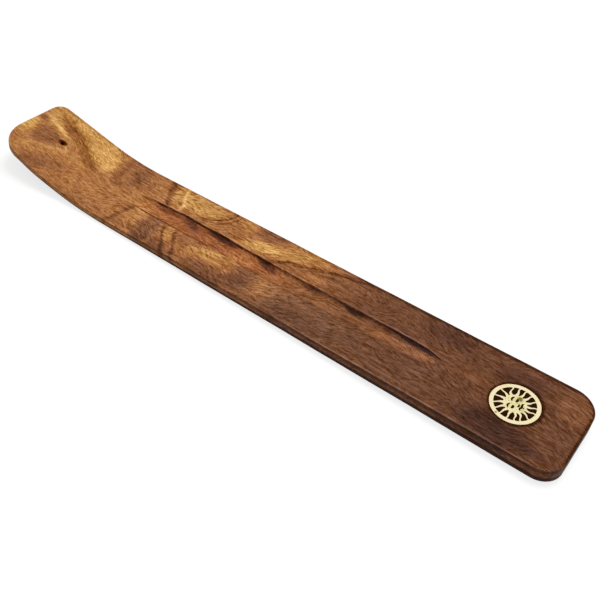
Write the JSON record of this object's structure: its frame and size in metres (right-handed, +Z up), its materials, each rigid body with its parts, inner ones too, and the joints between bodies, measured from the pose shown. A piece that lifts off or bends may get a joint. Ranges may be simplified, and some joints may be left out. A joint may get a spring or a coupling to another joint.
{
  "type": "incense stick holder",
  "caption": "Flat ski-shaped wooden incense holder with an upturned tip, a slanted stick hole, a long ash groove and a pierced brass sun set flush in its flat end.",
  "frame": {"origin": "on the table, under the middle of the board's bounding box", "axes": "+X along the board towards its flat end, +Y across it, +Z up"},
  "size_m": [0.2639, 0.038, 0.0131],
  "materials": {
    "oiled_wood": "sanded and oiled, golden sapwood at the tip running to dark brown heartwood at the flat end",
    "inlay_brass": "pale brass, sanded flush with the wood",
    "dark_lac": "dark brown lac filler, matt"
  },
  "bodies": {
    "root": {"board": "oiled_wood", "brass_sun": "inlay_brass", "lac_bed": "dark_lac"}
  },
  "joints": []
}
